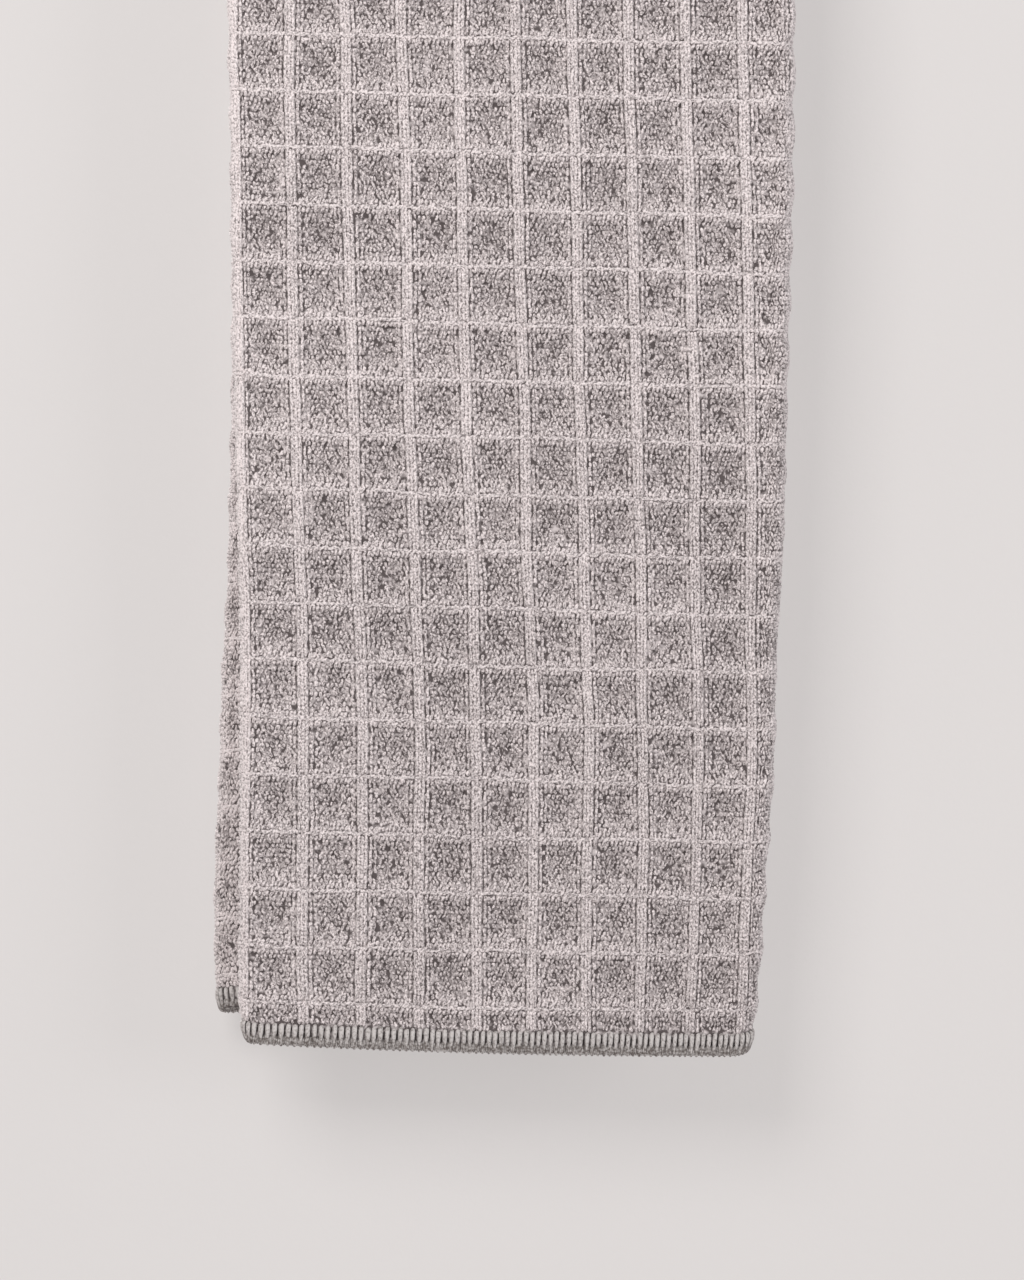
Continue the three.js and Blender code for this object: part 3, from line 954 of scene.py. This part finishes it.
sewingPieces = [
    sewHem("frontHemSewing", False, sewing["seed"]),
    sewHem("backHemSewing", True, sewing["seed"] + 1),
    sewSide("sideEdgeSewing", sewing["seed"] + 2),
]
print("  triangles", sum(len(piece.data.polygons) for piece in sewingPieces))

print("stage, lights and camera")
stageLook = {
    "wallBehind": 0.022,
    "wallHalf": 0.6,
    "floorBelow": -0.62,
    "floorHalf": 3,
    "backdrop": (0.74, 0.72, 0.71, 1),
    "ambient": (1.0, 0.985, 0.975, 1),
    "ambientStrength": 0.345,
}
photoView = {
    "widthPx": 1024,
    "heightPx": 1280,
    "mmPerPx": 0.2567,
    "middlePx": 513,  # the towel's own middle line
    "hemPx": 1053,  # the lowest row of the front hem
    "frontDepth": 15.5,  # how far the front ridges stand before the rail
    "lens": 150,
    "sensor": 36,
}


def makePlane(name, corners, material):
    mesh = bpy.data.meshes.new(name)
    mesh.from_pydata(corners, [], [(0, 1, 2, 3)])
    mesh.materials.append(material)
    plane = bpy.data.objects.new(name, mesh)
    bpy.context.scene.collection.objects.link(plane)
    return plane


# Painted plaster with a fine grain
def makeWallPaint():
    material, tree, shader = newMaterial("wallPaint")
    place = addNode(tree, "TexCoord")
    grain = addNode(tree, "TexNoise", Vector=place.outputs["Object"], Scale=260, Detail=4.0)
    cloud = addNode(tree, "TexNoise", Vector=place.outputs["Object"], Scale=6, Detail=1.0)
    tone = addNode(tree, "Mix", {"data_type": "RGBA"})
    tree.links.new(cloud.outputs["Fac"], tone.inputs["Factor"])
    tone.inputs["A"].default_value = looks["wall"]
    tone.inputs["B"].default_value = [0.97 * part for part in looks["wall"][:3]] + [1]
    tree.links.new(tone.outputs["Result"], shader.inputs["Base Color"])
    tree.links.new(tone.outputs["Result"], shader.inputs["Emission Color"])
    shader.inputs["Emission Strength"].default_value = looks["wallGlow"] / looks["wall"][0]
    shader.inputs["Roughness"].default_value = 0.9
    shader.inputs["Specular IOR Level"].default_value = 0.2
    fuzzBump(tree, shader, grain.outputs["Fac"], 0.3 * mm, 0.35)
    showFrontOnly(tree, shader)
    return material


# Lets the paint show from its front alone, and lets light and sight through from behind
def showFrontOnly(tree, shader):
    clear = addNode(tree, "BsdfTransparent")
    side = addNode(tree, "NewGeometry")
    ray = addNode(tree, "LightPath")
    through = addNode(tree, "Math", {"operation": "MAXIMUM"})
    tree.links.new(side.outputs["Backfacing"], through.inputs[0])
    tree.links.new(ray.outputs["Is Shadow Ray"], through.inputs[1])
    mix = addNode(tree, "MixShader")
    tree.links.new(through.outputs[0], mix.inputs[0])
    tree.links.new(shader.outputs[0], mix.inputs[1])
    tree.links.new(clear.outputs[0], mix.inputs[2])
    tree.links.new(mix.outputs[0], tree.nodes["Material Output"].inputs["Surface"])


def makeFloorPaint():
    material, tree, shader = newMaterial("floorPaint")
    place = addNode(tree, "TexCoord")
    cloud = addNode(tree, "TexNoise", Vector=place.outputs["Object"], Scale=3, Detail=2.0)
    tone = addNode(tree, "Mix", {"data_type": "RGBA"})
    tree.links.new(cloud.outputs["Fac"], tone.inputs["Factor"])
    tone.inputs["A"].default_value = looks["floor"]
    tone.inputs["B"].default_value = [0.98 * part for part in looks["floor"][:3]] + [1]
    tree.links.new(tone.outputs["Result"], shader.inputs["Base Color"])
    tree.links.new(tone.outputs["Result"], shader.inputs["Emission Color"])
    shader.inputs["Emission Strength"].default_value = looks["floorGlow"] / looks["floor"][0]
    shader.inputs["Roughness"].default_value = 0.8
    showFrontOnly(tree, shader)
    return material


half, behind = stageLook["wallHalf"], stageLook["wallBehind"]
middle = (cadLow.z + cadHigh.z) / 2
wallCorners = [(-half, behind, middle - half), (half, behind, middle - half),
               (half, behind, middle + half), (-half, behind, middle + half)]
makePlane("wall", wallCorners, makeWallPaint())
far, below = stageLook["floorHalf"], stageLook["floorBelow"]
floorCorners = [(-far, -far, below), (far, -far, below), (far, far, below), (-far, far, below)]
makePlane("floor", floorCorners, makeFloorPaint())


# The light round the towel, and the plain backdrop that the camera sees past the stage
def makeWorld():
    world = bpy.data.worlds.new("studio")
    world.use_nodes = True
    tree = world.node_tree
    ambient = tree.nodes["Background"]
    ambient.inputs["Color"].default_value = stageLook["ambient"]
    ambient.inputs["Strength"].default_value = stageLook["ambientStrength"]
    seen = addNode(tree, "Background", Color=stageLook["backdrop"], Strength=1.0)
    ray = addNode(tree, "LightPath")
    mix = addNode(tree, "MixShader")
    tree.links.new(ray.outputs["Is Camera Ray"], mix.inputs[0])
    tree.links.new(ambient.outputs[0], mix.inputs[1])
    tree.links.new(seen.outputs[0], mix.inputs[2])
    tree.links.new(mix.outputs[0], tree.nodes["World Output"].inputs["Surface"])
    bpy.context.scene.world = world


makeWorld()
lightsTarget = np.array([-0.002, -0.01, -0.18])
lights = {
    # towards the light from its target, distance, size, power, colour
    "key": ((-0.37, -0.77, 0.53), 1.15, 0.55, 10.5, (1, 0.985, 0.97)),
    "fill": ((0.8, -0.6, 0.1), 1.8, 0.7, 11, (0.97, 0.98, 1)),
    "behindLeft": ((-0.5, 0.8, 0.45), 1.6, 0.5, 16, (1, 0.985, 0.975)),
    "behindRight": ((0.7, 0.6, 0.1), 1.8, 0.8, 4, (0.98, 0.985, 1)),
}
for name, (towards, distance, size, power, colour) in lights.items():
    lamp = bpy.data.lights.new(name, "AREA")
    lamp.size = size
    lamp.energy = power
    lamp.color = colour
    holder = bpy.data.objects.new(name, lamp)
    way = np.array(towards) / np.linalg.norm(towards)
    holder.location = lightsTarget + way * distance
    holder.rotation_mode = "QUATERNION"
    holder.rotation_quaternion = Vector(way).to_track_quat("Z", "Y")
    bpy.context.scene.collection.objects.link(holder)

camera = bpy.data.cameras.new("camera")
camera.lens = photoView["lens"]
camera.sensor_width = photoView["sensor"]
camera.clip_start = 0.05
camera.clip_end = 20
cameraHolder = bpy.data.objects.new("camera", camera)
frameHeight = photoView["heightPx"] * photoView["mmPerPx"]
aboveHem = (photoView["hemPx"] - photoView["heightPx"] / 2) * photoView["mmPerPx"]
cameraHolder.location = (
    (photoView["widthPx"] / 2 - photoView["middlePx"]) * photoView["mmPerPx"] * mm,
    -(photoView["frontDepth"] + frameHeight * photoView["lens"] / photoView["sensor"]) * mm,
    (aboveHem - frontLength - fold["bendRadius"]) * mm,
)
cameraHolder.rotation_euler = (math.pi / 2, 0, 0)
bpy.context.scene.collection.objects.link(cameraHolder)
bpy.context.scene.camera = cameraHolder
bpy.context.scene.view_settings.view_transform = "Standard"

print("frame")
allPieces = [towelCloth, *pilePieces, *sewingPieces]
for piece in allPieces:
    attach(piece, "root")
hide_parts("towel")
